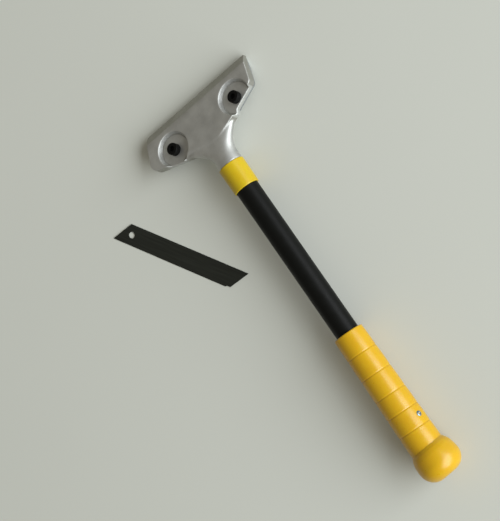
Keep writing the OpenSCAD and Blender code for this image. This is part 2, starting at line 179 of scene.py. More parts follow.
class ScraperGrip(bpy.types.PropertyGroup):
    front_diameter: length("Front diameter", "Diameter of the grip's front end", 22.4)
    back_diameter: length("Back diameter", "Diameter of the grip's back end", 25.2)
    long_ring: length("Long ring", "Length of each front ring", 17)
    long_rings: IntProperty(name="Long rings", description="Number of long rings", default=3, min=1)
    short_ring: length("Short ring", "Length of each back ring", 14.5)
    short_rings: IntProperty(
        name="Short rings", description="Number of short rings", default=3, min=1
    )
    groove_width: length("Groove width", "Width of the groove between two rings", 1.4)
    groove_depth: length("Groove depth", "Depth of the groove between two rings", 0.28)
    crown: length("Crown", "Swell of each ring at its middle", 0.14)
    edge: length("Edge", "Rounding of the grip's front edge", 0.7)
    rivet_diameter: length("Rivet diameter", "Diameter of the rivet's head", 4.2)
    rivet_turn: angle("Rivet turn", "Turn of the rivet from the top", 66)
    plastic: colour("Grip plastic", "Colour of the grip and the knob", "#CB9F0E")
    grime: colour("Grime", "Colour that has settled in the grooves", "#A87410")


class ScraperKnob(bpy.types.PropertyGroup):
    diameter: length("Diameter", "Largest diameter of the knob", 32.4)
    front_diameter: length("Front diameter", "Diameter where it meets the grip", 28.8)
    size: length("Length", "Length of the knob", 23.5)
    swell: length("Swell", "Length over which the knob swells", 12.5)
    corner: length("Corner", "Radius of the round back corner", 11)
    lip: length("Lip", "Thickness of the front lip on the grip", 0.5)
    slope: length("Slope", "Length of the slope from the lip to the front diameter", 2.4)
    edge: length("Edge", "Rounding between slope and swell", 1.2)
    lean: angle("Lean", "Lean of the knob from the handle's line", 6.5)


class ScraperBlade(bpy.types.PropertyGroup):
    turn: angle("Turn", "Turn of the loose blade from crosswise", -56.6)
    steel: colour("Blackened steel", "Colour of the loose blade", "#1B1D18")


class ScraperStage(bpy.types.PropertyGroup):
    floor_size: length("Floor size", "Side of the floor", 6000)
    floor: colour("Floor", "Colour of the matt table top", "#D0D2C9")
    window_power: FloatProperty(
        name="Window", description="Power of the window light", default=269, unit="POWER"
    )
    window_colour: colour("Window colour", "Colour of the window light", "#F5FAFF")
    window_width: length("Window width", "Width of the window light", 5100)
    window_height: length("Window height", "Height of the window light", 2800)
    window_distance: length("Window distance", "Distance from the tool to the window light", 3600)
    window_turn: angle("Window turn", "Turn of the window light round the tool", -32.735)
    window_rise: angle("Window rise", "Rise of the window light over the table", 25.531)
    room: FloatProperty(
        name="Room light", description="Strength of the light from the room", default=0.265, min=0
    )
    room_colour: colour("Room colour", "Colour of the light from the room", "#FFF8E8")
    middle: FloatVectorProperty(
        name="Middle", description="Place on the table that the window light faces",
        default=(0, -0.12, 0), subtype="TRANSLATION",
    )
    eye: FloatVectorProperty(
        name="Camera", description="Place of the camera", default=(0.356, -0.2799, 0.9143),
        subtype="TRANSLATION",
    )
    aim: FloatVectorProperty(
        name="Camera turn", description="Turn of the camera",
        default=(radians(-6.243), radians(24.256), radians(-37.79)), subtype="EULER",
    )
    lens: FloatProperty(
        name="Lens", description="Focal length on a 36 mm long side", default=96.36, unit="CAMERA"
    )


class ScraperSettings(bpy.types.PropertyGroup):
    head: PointerProperty(type=ScraperHead)
    screws: PointerProperty(type=ScraperScrews)
    handle: PointerProperty(type=ScraperHandle)
    grip: PointerProperty(type=ScraperGrip)
    knob: PointerProperty(type=ScraperKnob)
    blade: PointerProperty(type=ScraperBlade)
    stage: PointerProperty(type=ScraperStage)


def rounded_profile(corners, step=None):
    """Points (radius, height) of a profile from corners (radius, height, rounding).

    With a step, long runs are cut into pieces of about that length.
    """
    points = []
    for i, (radius, height, rounding) in enumerate(corners):
        here = Vector((radius, height))
        if not rounding:
            points.append(here)
            continue
        back = (Vector(corners[i - 1][:2]) - here).normalized()
        ahead = (Vector(corners[(i + 1) % len(corners)][:2]) - here).normalized()
        half = back.angle(ahead) / 2
        middle = here + (back + ahead).normalized() * rounding / sin(half)
        first = here + back * rounding / tan(half) - middle
        last = here + ahead * rounding / tan(half) - middle
        start = atan2(first.y, first.x)
        sweep = (atan2(last.y, last.x) - start + pi) % (2 * pi) - pi
        # A point on the straight on either side keeps the shading of the arc off it
        hold = rounding / 2
        points.append(middle + first + back * hold)
        for k in range(ARC_STEPS + 1):
            turn = start + sweep * k / ARC_STEPS
            points.append(middle + Vector((cos(turn), sin(turn))) * rounding)
        points.append(middle + last + ahead * hold)
    if step is None:
        return points
    spaced = [points[0]]
    for point in points[1:]:
        run = point - spaced[-1]
        cuts = max(1, round(run.length / step))
        before = spaced[-1]
        spaced += [before + run * (k + 1) / cuts for k in range(cuts)]
    return spaced


def profile_mesh(name, points, marks=None):
    """A line of vertices in the XZ plane, with an attribute for each mark."""
    mesh = bpy.data.meshes.new(name)
    edges = [(i, i + 1) for i in range(len(points) - 1)]
    mesh.from_pydata([(radius, 0, height) for radius, height in points], edges, [])
    for mark in MARKS:
        value = (marks or {}).get(mark, lambda radius, height: 0)
        attribute = mesh.attributes.new(mark, "FLOAT", "POINT")
        attribute.data.foreach_set("value", [float(value(*point)) for point in points])
    return mesh


def new_tree(name, inputs):
    """An empty Geometry Nodes tree with a geometry input and output and the named inputs."""
    tree = bpy.data.node_groups.new(name, "GeometryNodeTree")
    tree.interface.new_socket("Geometry", in_out="OUTPUT", socket_type="NodeSocketGeometry")
    tree.interface.new_socket("Geometry", in_out="INPUT", socket_type="NodeSocketGeometry")
    for label, kind in inputs:
        tree.interface.new_socket(label, in_out="INPUT", socket_type="NodeSocket" + kind)
    given = add(tree, "NodeGroupInput").outputs
    return tree, {socket.name: socket for socket in given if socket.name}


def flat_grid(tree, known):
    """A grid to be wrapped round an axis; its row and its turn about the axis go into known."""
    place = add(tree, "GeometryNodeInputPosition").outputs[0]
    known["x"], known["y"], _ = add(tree, "ShaderNodeSeparateXYZ", inputs=[place]).outputs
    for name, operation, *terms in (
        ("columns", "ADD", "Segments", 1.0),
        ("from edge", "ADD", "x", 0.5),
        ("last row", "SUBTRACT", "rows", 1.0),
        ("row share", "MULTIPLY", "from edge", "last row"),
        ("row", "ROUND", "row share"),
        ("turn share", "ADD", "y", 0.5),
        ("turn", "MULTIPLY", "turn share", 2 * pi),
    ):
        terms = [known.get(term, term) for term in terms]
        known[name] = add(tree, "ShaderNodeMath", {"operation": operation}, terms).outputs[0]
    counts = {"Vertices X": known["rows"], "Vertices Y": known["columns"]}
    grid = add(tree, "GeometryNodeMeshGrid", inputs={"Size X": 1.0, "Size Y": 1.0, **counts})
    return grid.outputs["Mesh"], place


def wrap(tree, known, grid):
    """Stores the soil on the flat grid, wraps the grid to radius and height, and ends the tree."""
    for name, operation, *terms in (
        ("cos", "COSINE", "turn"),
        ("sin", "SINE", "turn"),
        ("east", "MULTIPLY", "radius", "cos"),
        ("north", "MULTIPLY", "radius", "sin"),
    ):
        terms = [known.get(term, term) for term in terms]
        known[name] = add(tree, "ShaderNodeMath", {"operation": operation}, terms).outputs[0]
    soiled = add(
        tree, "GeometryNodeStoreNamedAttribute", {"data_type": "FLOAT", "domain": "POINT"},
        {"Geometry": grid, "Name": "soil", "Value": known["soil"]},
    )
    wrapped = [known["east"], known["north"], known["height"]]
    place = add(tree, "ShaderNodeCombineXYZ", inputs=wrapped)
    # Where the grid closes on itself, and at a pole, its doubled points become one
    chain = (
        ("GeometryNodeSetPosition", {"Position": place.outputs[0]}),
        ("GeometryNodeMergeByDistance", {"Distance": MERGE}),
        ("GeometryNodeSetShadeSmooth", {}),
        ("GeometryNodeRealizeInstances", {}),
        ("GeometryNodeSetMaterial", {"Material": known["Material"]}),
        ("NodeGroupOutput", {}),
    )
    last = soiled
    for kind, inputs in chain:
        last = add(tree, kind, inputs={"Geometry": last.outputs[0], **inputs})


def turned_form():
    """Tree that turns a profile line about Z, with knurls, thread and hexagon where it's marked."""
    tree, known = new_tree(
        "Turned form",
        [
            ("Segments", "Int"), ("Knurls", "Int"), ("Knurl Depth", "Float"),
            ("Pitch", "Float"), ("Thread Depth", "Float"), ("Material", "Material"),
        ],
    )
    line = known["Geometry"]
    size = add(tree, "GeometryNodeAttributeDomainSize", inputs={"Geometry": line})
    known["rows"] = size.outputs["Point Count"]
    grid, place = flat_grid(tree, known)
    wanted = [("point", "FLOAT_VECTOR", place)]
    for mark in MARKS:
        stored = add(
            tree, "GeometryNodeInputNamedAttribute", {"data_type": "FLOAT"}, {"Name": mark}
        )
        wanted.append((mark, "FLOAT", stored.outputs[0]))
    for name, kind, value in wanted:
        known[name] = add(
            tree, "GeometryNodeSampleIndex", {"data_type": kind},
            {"Geometry": line, "Value": value, "Index": known["row"]},
        ).outputs[0]
    point = add(tree, "ShaderNodeSeparateXYZ", inputs=[known["point"]]).outputs
    known["line radius"], _, known["height"] = point
    for name, operation, *terms in (
        # A hexagon's side is farther from the axis towards its corners
        ("in side", "FLOORED_MODULO", "turn", pi / 3),
        ("from middle", "SUBTRACT", "in side", pi / 6),
        ("cos from middle", "COSINE", "from middle"),
        ("side", "DIVIDE", cos(pi / 6), "cos from middle"),
        ("less", "SUBTRACT", "side", 1.0),
        ("shrink", "MULTIPLY_ADD", "less", "hexagon", 1.0),
        ("plain radius", "MULTIPLY", "line radius", "shrink"),
        # The knurls are waves round the axis
        ("knurl turn", "MULTIPLY", "turn", "Knurls"),
        ("knurl wave", "COSINE", "knurl turn"),
        ("knurl fall", "MULTIPLY_ADD", "knurl wave", 0.5, -0.5),
        ("knurl depth", "MULTIPLY", "knurl", "Knurl Depth"),
        ("knurl cut", "MULTIPLY", "knurl fall", "knurl depth"),
        # The thread's waves climb one pitch in a turn
        ("pitches", "DIVIDE", "height", "Pitch"),
        ("climb", "MULTIPLY", "pitches", 2 * pi),
        ("thread turn", "SUBTRACT", "climb", "turn"),
        ("thread wave", "COSINE", "thread turn"),
        ("thread fall", "MULTIPLY_ADD", "thread wave", 0.5, -0.5),
        ("thread depth", "MULTIPLY", "thread", "Thread Depth"),
        ("thread cut", "MULTIPLY", "thread fall", "thread depth"),
        ("cuts", "ADD", "knurl cut", "thread cut"),
        ("radius", "ADD", "plain radius", "cuts"),
    ):
        terms = [known.get(term, term) for term in terms]
        known[name] = add(tree, "ShaderNodeMath", {"operation": operation}, terms).outputs[0]
    wrap(tree, known, grid)
    return tree


def ribbed_sleeve():
    """Tree for a tapered sleeve: a row of crowned rings with a groove between each two."""
    tree, known = new_tree(
        "Ribbed sleeve",
        [
            ("Rows", "Int"), ("Segments", "Int"), ("Front Radius", "Float"),
            ("Back Radius", "Float"), ("Bore Radius", "Float"), ("Long Ring", "Float"),
            ("Long Rings", "Int"), ("Short Ring", "Float"), ("Short Rings", "Int"),
            ("Tail", "Float"), ("Groove Width", "Float"), ("Groove Depth", "Float"),
            ("Crown", "Float"), ("Edge", "Float"), ("Material", "Material"),
        ],
    )
    # The first row and the last two are the bore; the rest run along the outside
    rows = add(tree, "ShaderNodeMath", {"operation": "ADD"}, [known["Rows"], 3.0])
    known["rows"] = rows.outputs[0]
    grid, _ = flat_grid(tree, known)
    for name, operation, *terms in (
        ("outer row", "SUBTRACT", "row", 1.0),
        ("last outer", "SUBTRACT", "Rows", 1.0),
        ("row part", "DIVIDE", "outer row", "last outer"),
        ("not before", "MAXIMUM", "row part", 0.0),
        ("share", "MINIMUM", "not before", 1.0),
        ("after first", "GREATER_THAN", "row", 0.5),
        ("past outer", "GREATER_THAN", "outer row", "last outer"),
        ("closing row", "ADD", "Rows", 1.5),
        ("closing", "GREATER_THAN", "row", "closing row"),
        ("outside", "SUBTRACT", "after first", "past outer"),
        ("open", "SUBTRACT", 1.0, "closing"),
        # Heights: where the short rings start, where the rings end, and the place of this row
        ("front", "MULTIPLY", "Long Ring", "Long Rings"),
        ("ribbed", "MULTIPLY_ADD", "Short Ring", "Short Rings", "front"),
        ("whole", "ADD", "ribbed", "Tail"),
        ("reach", "MULTIPLY", "share", "whole"),
        ("height", "MULTIPLY", "reach", "open"),
        ("within", "MINIMUM", "height", "ribbed"),
        ("part", "DIVIDE", "within", "ribbed"),
        ("growth", "SUBTRACT", "Back Radius", "Front Radius"),
        ("taper", "MULTIPLY_ADD", "part", "growth", "Front Radius"),
        # Place within a ring, from 0 to 1
        ("long rings in", "DIVIDE", "within", "Long Ring"),
        ("in long", "FRACT", "long rings in"),
        ("past front", "SUBTRACT", "within", "front"),
        ("short rings in", "DIVIDE", "past front", "Short Ring"),
        ("in short", "FRACT", "short rings in"),
        ("short", "GREATER_THAN", "past front", 0.0),
        ("long", "SUBTRACT", 1.0, "short"),
        ("long place", "MULTIPLY", "in long", "long"),
        ("in ring", "MULTIPLY_ADD", "in short", "short", "long place"),
        ("long length", "MULTIPLY", "Long Ring", "long"),
        ("ring", "MULTIPLY_ADD", "Short Ring", "short", "long length"),
        ("half turn", "MULTIPLY", "in ring", pi),
        ("bulge", "SINE", "half turn"),
        ("swell", "MULTIPLY", "bulge", "Crown"),
        # A groove is one cosine wave between two rings; the sleeve's two ends have none
        ("to next", "SUBTRACT", 1.0, "in ring"),
        ("near", "MINIMUM", "in ring", "to next"),
        ("distance", "MULTIPLY", "near", "ring"),
        ("double", "MULTIPLY", "distance", 2.0),
        ("groove part", "DIVIDE", "double", "Groove Width"),
        ("groove share", "MINIMUM", "groove part", 1.0),
        ("groove turn", "MULTIPLY", "groove share", pi),
        ("groove wave", "COSINE", "groove turn"),
        ("groove", "MULTIPLY_ADD", "groove wave", 0.5, 0.5),
        ("first half", "MULTIPLY", "Long Ring", 0.5),
        ("after start", "GREATER_THAN", "within", "first half"),
        ("last half", "MULTIPLY_ADD", "Short Ring", -0.5, "ribbed"),
        ("before end", "LESS_THAN", "within", "last half"),
        ("inner", "MULTIPLY", "after start", "before end"),
        ("inner outside", "MULTIPLY", "inner", "outside"),
        ("soil", "MULTIPLY", "groove", "inner outside"),
        ("cut", "MULTIPLY", "soil", "Groove Depth"),
        # The front edge is a quarter round
        ("before edge", "SUBTRACT", "Edge", "height"),
        ("short of", "MAXIMUM", "before edge", 0.0),
        ("short squared", "MULTIPLY", "short of", "short of"),
        ("edge squared", "MULTIPLY", "Edge", "Edge"),
        ("rise squared", "SUBTRACT", "edge squared", "short squared"),
        ("rise", "SQRT", "rise squared"),
        ("fall", "SUBTRACT", "Edge", "rise"),
        ("crowned", "ADD", "taper", "swell"),
        ("grooved", "SUBTRACT", "crowned", "cut"),
        ("skin", "SUBTRACT", "grooved", "fall"),
        ("wall", "SUBTRACT", "skin", "Bore Radius"),
        ("radius", "MULTIPLY_ADD", "wall", "outside", "Bore Radius"),
    ):
        terms = [known.get(term, term) for term in terms]
        known[name] = add(tree, "ShaderNodeMath", {"operation": operation}, terms).outputs[0]
    wrap(tree, known, grid)
    return tree


def face_outwards(mesh):
    """Turns every face's front to the outside."""
    form = bmesh.new()
    form.from_mesh(mesh)
    bmesh.ops.recalc_face_normals(form, faces=form.faces)
    form.to_mesh(mesh)
    form.free()


def plain(piece):
    """Turns what a piece's modifiers make into its own plain mesh."""
    graph = bpy.context.evaluated_depsgraph_get()
    made = piece.evaluated_get(graph)
    mesh = bpy.data.meshes.new_from_object(made, preserve_all_data_layers=True, depsgraph=graph)
    piece.modifiers.clear()
    piece.data = mesh
    return piece


def made_by(name, mesh, tree, sizes, place):
    """A piece made by a Geometry Nodes tree from a mesh, put in its place as a plain mesh."""
    piece = bpy.data.objects.new(name, mesh)
    bpy.context.scene.collection.objects.link(piece)
    modifier = piece.modifiers.new(tree.name, "NODES")
    modifier.node_group = tree
    for item in tree.interface.items_tree:
        if item.in_out == "INPUT" and item.name in sizes:
            modifier[item.identifier] = sizes[item.name]
    plain(piece)
    if not piece.data.polygons:
        raise RuntimeError(f"{name}: the tree made no faces")
    piece.data.transform(place)
    face_outwards(piece.data)
    return piece


def turned(name, points, place, material, marks=None, **sizes):
    """A piece turned from a profile; sizes are the inputs of the tree Turned form."""
    tree = bpy.data.node_groups.get("Turned form") or turned_form()
    given = {
        "Segments": TURNED_COLUMNS, "Knurls": 1, "Knurl Depth": 0.0, "Pitch": 1.0,
        "Thread Depth": 0.0, **sizes, "Material": material,
    }
    return made_by(name, profile_mesh(name, points, marks), tree, given, place)


def stand_for(piece, body, node):
    """Makes a piece ride on a body in place of a node of the frame, which is hidden."""
    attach(piece, body)
    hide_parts(node)


def axis_height():
    """Height of the handle's axis over the table."""
    low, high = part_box("tube")
    return (low.z + high.z) / 2


def on_axis(y, lean=0.0):
    """Puts a form's Z along the handle, running back from a place on its axis."""
    turn = Matrix.Rotation(lean, 4, "Z") @ Matrix.Rotation(pi / 2, 4, "X")
    return Matrix.Translation((0, y, axis_height())) @ turn


def grain(mm):
    """Noise scale on Object coordinates, which are metres, for a feature of that many mm."""
    return 1 / (mm * MM)


def new_material(name):
    """An empty material, its tree and the socket of its Object coordinates."""
    material = bpy.data.materials.new(name)
    material.use_nodes = True
    tree = material.node_tree
    tree.nodes.clear()
    return material, tree, add(tree, "ShaderNodeTexCoord").outputs["Object"]


def surface(tree, shader):
    """Ends a material's tree with one Principled shader; its inputs are numbers or sockets."""
    principled = add(tree, "ShaderNodeBsdfPrincipled", inputs=shader)
    add(tree, "ShaderNodeOutputMaterial", inputs={"Surface": principled.outputs[0]})


def mottle(tree, place, mm, low=0.0, high=1.0, detail=3.0):
    """A noise with features of that many millimetres, as a value from low to high."""
    noise = add(
        tree, "ShaderNodeTexNoise", inputs={"Vector": place, "Scale": grain(mm), "Detail": detail}
    )
    # Nearly all of a noise lies between these two values
    spread = {"From Min": 0.3, "From Max": 0.7, "To Min": low, "To Max": high}
    return add(tree, "ShaderNodeMapRange", inputs={"Value": noise.outputs[0], **spread}).outputs[0]


def cast_aluminium(settings, front, screws):
    """Die-cast aluminium, vibratory finished: satin metal with painted shade on the steeply sloping
    flanks, on the nose and, partly with tarnishing, in the corners.
    """
    material, tree, place = new_material("satin_die_cast_aluminium")
    seen = add(tree, "ShaderNodeNewGeometry").outputs
    _, facing_front, facing_up = add(tree, "ShaderNodeSeparateXYZ", inputs=[seen["Normal"]]).outputs
    across, along, _ = add(tree, "ShaderNodeSeparateXYZ", inputs=[place]).outputs
    left, right = (
        add(tree, "ShaderNodeVectorMath", {"operation": "DISTANCE"}, [place, screw]).outputs[1]
        for screw in screws
    )
    nearest = add(tree, "ShaderNodeMath", {"operation": "MINIMUM"}, [left, right]).outputs[0]
    aside = add(tree, "ShaderNodeMath", {"operation": "ABSOLUTE"}, [across]).outputs[0]
    # Each value with the two ends of its range, and what it becomes at either
    ranges = (
        # Partly painted shade, partly tarnishing: concave corners, where pointiness is low, are
        # darkened
        (seen["Pointiness"], 0.45, 0.5, 1.0, 0.0),
        # Painted shade: the wings' steeply sloping flanks are darkened; the pockets round the
        # screws and the neck are left out of it
        (facing_up, 0.35, 0.85, 1.0, 0.0),
        (nearest, settings.pocket, settings.pocket + settings.pocket_fade, 0.0, 1.0),
        (aside, settings.neck_width - settings.neck_fade, settings.neck_width, 0.0, 1.0),
        # Painted shade: the bevel, which faces forward, and the top just behind the front edge are
        # darkened
        (facing_front, 0.3, 0.8, 0.0, 0.85),
        (along, front - settings.nose_shade_reach, front, 0.0, 0.5),
    )
    corner, steep_shade, outside, on_wing, bevel, near = (
        add(tree, "ShaderNodeMapRange", inputs=values).outputs[0] for values in ranges
    )
    cast = add(tree, "ShaderNodeMath", {"operation": "MULTIPLY"}, [outside, on_wing]).outputs[0]
    tone = tuple(settings.metal)
    # Over the metal lie painted shade in the corners with patches of tarnishing, painted shade on
    # the flanks and painted shade on the nose
    for operation, one, other, over in (
        ("MAXIMUM", corner, mottle(tree, place, 9, high=0.25), settings.tarnish_and_corner_shade),
        ("MULTIPLY", steep_shade, cast, settings.flank_shade),
        ("MAXIMUM", bevel, near, settings.nose_shade),
    ):
        share = add(tree, "ShaderNodeMath", {"operation": operation}, [one, other]).outputs[0]
        layers = {0: share, 6: tone, 7: tuple(over)}
        tone = add(tree, "ShaderNodeMix", {"data_type": "RGBA"}, layers).outputs[2]
    # Tumbling leaves pits of about 0.3 mm; they are drawn at 0.8 mm to show
    pits = add(
        tree, "ShaderNodeBump",
        inputs={"Height": mottle(tree, place, 0.8), "Distance": 0.03 * MM, "Strength": 0.3},
    )
    surface(tree, {
        "Base Color": tone, "Metallic": 1.0, "Roughness": mottle(tree, place, 2.2, 0.56, 0.64),
        "Normal": pits.outputs[0],
    })
    return material


def black_oxide(settings):
    """Black oxide on steel: nearly black, a soft sheen from the oil."""
    material, tree, place = new_material("black_oxide_steel")
    grit = add(
        tree, "ShaderNodeBump",
        inputs={"Height": mottle(tree, place, 0.5), "Distance": 0.01 * MM, "Strength": 0.3},
    )
    surface(tree, {
        "Base Color": tuple(settings.metal), "Specular IOR Level": 0.12,
        "Roughness": mottle(tree, place, 1.5, 0.42, 0.6), "Normal": grit.outputs[0],
    })
    return material


def powder_coat(settings):
    """Satin black powder coat: fine orange peel over drawn steel tube."""
    material, tree, place = new_material("satin_black_powder_coat")
    # Orange peel waves are 0.6 to 1 mm across
    peel = add(
        tree, "ShaderNodeBump",
        inputs={
            "Height": mottle(tree, place, 0.9, detail=1.0), "Distance": 0.02 * MM, "Strength": 0.35,
        },
    )
    surface(tree, {
        "Base Color": tuple(settings.coat), "Specular IOR Level": 0.15,
        "Roughness": mottle(tree, place, 6, 0.4, 0.5), "Normal": peel.outputs[0],
    })
    return material


def moulded_plastic(name, plastic, grime):
    """Injection-moulded polypropylene: softly glossy, light under the skin, dirt in the grooves."""
    material, tree, place = new_material(name)
    soil = add(tree, "ShaderNodeAttribute", {"attribute_name": "soil"}).outputs["Fac"]
    # Grime tints the grooves, and faint clouds of it lie all over
    share = add(
        tree, "ShaderNodeMath", {"operation": "MULTIPLY_ADD", "use_clamp": True},
        [soil, 0.18, mottle(tree, place, 14, high=0.12)],
    )
    layers = {0: share.outputs[0], 6: plastic, 7: grime}
    used = add(tree, "ShaderNodeMix", {"data_type": "RGBA"}, layers)
    # The mould's spark-eroded texture is 0.2 mm grit, drawn at 0.5 mm to show
    grit = add(
        tree, "ShaderNodeBump",
        inputs={"Height": mottle(tree, place, 0.5), "Distance": 0.02 * MM, "Strength": 0.25},
    )
    surface(tree, {
        "Base Color": used.outputs[2], "IOR": 1.49, "Roughness": mottle(tree, place, 3, 0.27, 0.35),
        "Subsurface Weight": 0.15, "Subsurface Radius": (1.0, 0.5, 0.2), "Subsurface Scale": 2 * MM,
        "Normal": grit.outputs[0],
    })
    return material


def zinc_plate():
    """Bright zinc plate on pressed steel: pale blue-grey metal with fine drawing lines."""
    material, tree, place = new_material("zinc_plated_steel")
    stretched = {"Vector": place, "Scale": (0.05, 1.0, 1.0)}
    lines = add(tree, "ShaderNodeMapping", inputs=stretched).outputs[0]
    drawn = add(
        tree, "ShaderNodeBump",
        inputs={"Height": mottle(tree, lines, 0.5), "Distance": 0.01 * MM, "Strength": 0.2},
    )
    surface(tree, {
        "Base Color": linear("#B4B8BC"), "Metallic": 1.0,
        "Roughness": mottle(tree, lines, 0.6, 0.3, 0.45), "Normal": drawn.outputs[0],
    })
    return material


def rivet_steel():
    """Zinc-plated steel rivet, dulled blue-grey."""
    material, tree, place = new_material("dull_zinc_rivet_steel")
    surface(tree, {
        "Base Color": linear("#8797A4"), "Metallic": 1.0,
        "Roughness": mottle(tree, place, 0.8, 0.3, 0.5),
    })
    return material


def blackened_steel(settings, middle):
    """Hardened, blackened spring steel: nearly black, with faint grinding lines along the blade."""
    material, tree, place = new_material("blackened_spring_steel")
    along = add(
        tree, "ShaderNodeMapping", {"vector_type": "TEXTURE"},
        {"Vector": place, "Location": middle, "Rotation": (0.0, 0.0, settings.turn)},
    )
    stretched = {"Vector": along.outputs[0], "Scale": (0.03, 1.0, 1.0)}
    lines = add(tree, "ShaderNodeMapping", inputs=stretched).outputs[0]
    streaks = mottle(tree, lines, 0.7)
    # The lines go from a little darker than the steel to clearly lighter
    dark, light = (
        [channel * share for channel in settings.steel[:3]] + [1.0] for share in (0.85, 1.6)
    )
    ground = add(tree, "ShaderNodeMix", {"data_type": "RGBA"}, {0: streaks, 6: dark, 7: light})
    scratches = add(
        tree, "ShaderNodeBump",
        inputs={"Height": streaks, "Distance": 0.008 * MM, "Strength": 0.3},
    )
    surface(tree, {
        "Base Color": ground.outputs[2], "Specular IOR Level": 0.3,
        "Roughness": mottle(tree, lines, 0.5, 0.42, 0.58), "Normal": scratches.outputs[0],
    })
    return material


def table_top(settings):
    """Matt painted table top, pale grey, with hardly visible clouds."""
    material, tree, place = new_material("matt_table_top")
    # The clouds are 1.5 % darker than the paint
    clouded = [channel * 0.985 for channel in settings.floor[:3]] + [1.0]
    layers = {0: mottle(tree, place, 220), 6: clouded, 7: tuple(settings.floor)}
    paint = add(tree, "ShaderNodeMix", {"data_type": "RGBA"}, layers)
    surface(tree, {
        "Base Color": paint.outputs[2], "Roughness": 0.9, "Specular IOR Level": 0.1,
    })
    return material


class SCRAPER_OT_head(bpy.types.Operator):
    """Casts the head's skin: the frame's solid with soft cast edges"""

    bl_idname = "scraper.head"
    bl_label = "Cast head"

    def execute(self, context):
        settings = context.scene.scraper.head
        mesh = frame["nodes"]["head_casting"].data.copy()
        form = bmesh.new()
        form.from_mesh(mesh)
        bmesh.ops.remove_doubles(form, verts=form.verts, dist=MERGE)
        form.to_mesh(mesh)
        form.free()
        piece = bpy.data.objects.new("cast_head", mesh)
        context.scene.collection.objects.link(piece)
        skin = piece.modifiers.new("Skin", "REMESH")
        skin.mode, skin.voxel_size = "VOXEL", settings.voxel
        skin.use_smooth_shade = True
        plain(piece)
        # The neck is blended by hand on the pattern, so it is softer than the plate
        neck = piece.vertex_groups.new(name="neck")
        for vertex in piece.data.vertices:
            back = (settings.plate_end - vertex.co.y) / settings.blend
            inside = (settings.neck_width - abs(vertex.co.x)) / settings.neck_fade
            share = min(back, inside, 1.0)
            if share > 0:
                neck.add([vertex.index], share, "REPLACE")
        passes = (("Soften", settings.soften, ""), ("Blend", settings.neck_soften, neck.name))
        for name, rounds, group in passes:
            smooth = piece.modifiers.new(name, "SMOOTH")
            smooth.factor, smooth.iterations, smooth.vertex_group = 0.5, rounds, group
        plain(piece)
        if len(piece.data.polygons) < FEWEST_FACES:
            raise RuntimeError("cast_head: the remesh lost the head")
        piece.data.materials.clear()
        screws = [joint(f"{side}_screw_turn")["pos_m"] for side in ("left", "right")]
        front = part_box("head_casting")[1].y
        piece.data.materials.append(cast_aluminium(settings, front, screws))
        stand_for(piece, "handle_and_head", "head_casting")
        return {"FINISHED"}


class SCRAPER_OT_clamp(bpy.types.Operator):
    """Finishes the clamp plate and the hidden pins"""

    bl_idname = "scraper.clamp"
    bl_label = "Clamp plate and pins"

    def execute(self, context):
        zinc = zinc_plate()
        for node in ("clamp_plate", "blade_pin", "neck_pin"):
            mesh = frame["nodes"][node].data
            mesh.materials.clear()
            mesh.materials.append(zinc)
        return {"FINISHED"}


class SCRAPER_OT_screws(bpy.types.Operator):
    """Makes both clamp screws: knurled socket heads with a cut thread"""

    bl_idname = "scraper.screws"
    bl_label = "Clamp screws"

    def execute(self, context):
        settings = context.scene.scraper.screws
        metal = black_oxide(settings)
        top, shank = settings.head_height, -settings.thread_length
        rim, thread = settings.head_diameter / 2, settings.thread_diameter / 2
        socket, floor = settings.socket / 2, top - settings.socket_depth
        # A cut thread is six tenths of its pitch deep
        depth = 0.6 * settings.pitch
        # Eight points to a pitch draw the thread's waves
        points = rounded_profile(
            [
                (0, shank, 0), (thread - depth, shank, 0), (thread, shank + depth, 0),
                (thread, 0, 0), (rim, 0, BROKEN), (rim, top, SOFT), (socket, top, SHARP),
                (socket, floor, 0), (0, floor - DRILL_CONE, 0),
            ],
            step=settings.pitch / 8,
        )

        def knurled(radius, height):
            return rim - radius < TOUCH and SOFT < height < top - SOFT - SHARP

        def threaded(radius, height):
            return height < -settings.pitch / 2 and radius > thread - depth / 2

        def hexagonal(radius, height):
            return height > floor - DRILL_CONE - SHARP and radius < socket + HEXAGON_REACH

        marks = {"knurl": knurled, "thread": threaded, "hexagon": hexagonal}
        for side in ("left", "right"):
            turning = joint(f"{side}_screw_turn")
            axis = Vector(turning["axis"]).normalized()
            # The screw stands on the pocket's floor, on the joint's own axis
            foot = Vector(turning["pos_m"]) + axis * CLEARANCE
            place = Matrix.Translation(foot) @ axis.to_track_quat("Z", "Y").to_matrix().to_4x4()
            sizes = {
                "Segments": settings.knurls * COLUMNS_PER_KNURL, "Knurls": settings.knurls,
                "Knurl Depth": settings.knurl_depth, "Pitch": settings.pitch, "Thread Depth": depth,
            }
            piece = turned(f"socket_screw_{side}", points, place, metal, marks, **sizes)
            stand_for(piece, f"{side}_screw", f"clamp_screw_{side}")
        return {"FINISHED"}


